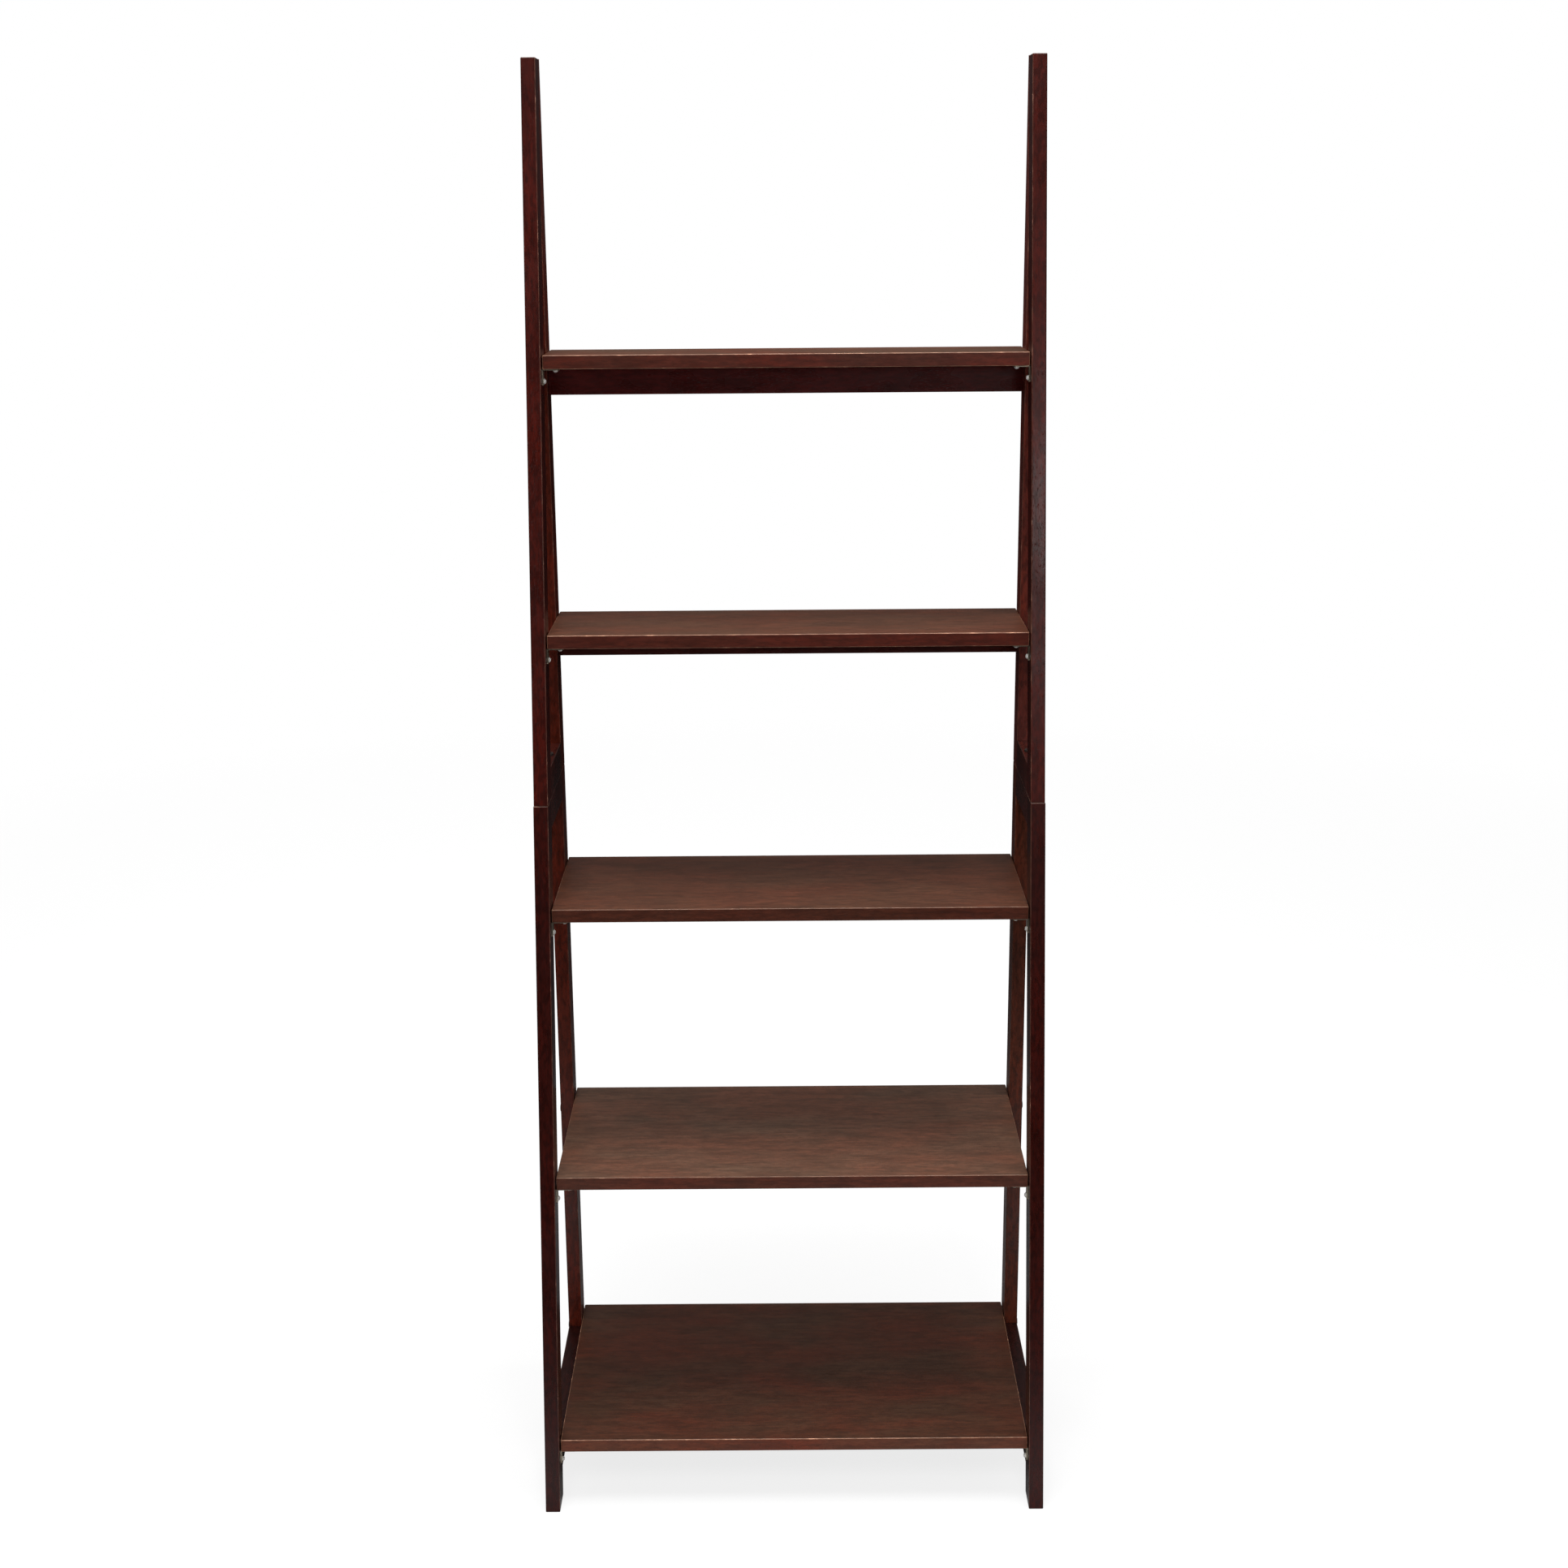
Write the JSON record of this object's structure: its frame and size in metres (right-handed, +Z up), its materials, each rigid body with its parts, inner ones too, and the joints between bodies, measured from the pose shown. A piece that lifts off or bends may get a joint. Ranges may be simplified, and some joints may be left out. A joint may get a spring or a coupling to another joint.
{
  "type": "ladder shelf",
  "caption": "Free-standing ladder shelf: two side frames with leaning front legs carry flat boards that grow deeper towards the floor.",
  "frame": {"origin": "on the floor, at the centre of the footprint", "axes": "+X to the right seen from the front, +Y to the back, +Z up"},
  "size_m": [0.64, 0.3617, 1.778],
  "materials": {
    "frame_wood": "dark red-brown stain under satin lacquer",
    "shelf_wood": "dark brown stained veneer, satin",
    "bracket_steel": "pale yellow zinc plate",
    "screw_steel": "zinc plate",
    "bolt_steel": "bronzed zinc plate",
    "dowel_beech": "bare beech"
  },
  "bodies": {
    "root": {"back_rail_barrel_nuts": "bolt_steel", "back_rail_bolts": "bolt_steel", "bottom_back_rail": "frame_wood", "bottom_bracket_screws": "screw_steel", "bottom_left_bracket": "bracket_steel", "bottom_right_bracket": "bracket_steel", "bottom_shelf": "shelf_wood", "bottom_shelf_dowels": "dowel_beech", "frame_bolt_inserts": "bolt_steel", "frame_bolts": "bolt_steel", "left_base_rail": "frame_wood", "left_joint_dowels": "dowel_beech", "left_lower_frame_dowels": "dowel_beech", "left_lower_front_leg": "frame_wood", "left_lower_joint_rail": "frame_wood", "left_lower_rear_leg": "frame_wood", "left_upper_frame_dowels": "dowel_beech", "left_upper_front_leg": "frame_wood", "left_upper_joint_rail": "frame_wood", "left_upper_rear_leg": "frame_wood", "lower_back_rail": "frame_wood", "lower_bracket_screws": "screw_steel", "lower_left_bracket": "bracket_steel", "lower_right_bracket": "bracket_steel", "lower_shelf": "shelf_wood", "lower_shelf_dowels": "dowel_beech", "middle_back_rail": "frame_wood", "middle_bracket_screws": "screw_steel", "middle_left_bracket": "bracket_steel", "middle_right_bracket": "bracket_steel", "middle_shelf": "shelf_wood", "middle_shelf_dowels": "dowel_beech", "right_base_rail": "frame_wood", "right_joint_dowels": "dowel_beech", "right_lower_frame_dowels": "dowel_beech", "right_lower_front_leg": "frame_wood", "right_lower_joint_rail": "frame_wood", "right_lower_rear_leg": "frame_wood", "right_upper_frame_dowels": "dowel_beech", "right_upper_front_leg": "frame_wood", "right_upper_joint_rail": "frame_wood", "right_upper_rear_leg": "frame_wood", "top_back_rail": "frame_wood", "top_bracket_screws": "screw_steel", "top_left_bracket": "bracket_steel", "top_right_bracket": "bracket_steel", "top_shelf": "shelf_wood", "top_shelf_dowels": "dowel_beech", "upper_back_rail": "frame_wood", "upper_bracket_screws": "screw_steel", "upper_left_bracket": "bracket_steel", "upper_right_bracket": "bracket_steel", "upper_shelf": "shelf_wood", "upper_shelf_dowels": "dowel_beech"}
  },
  "joints": []
}
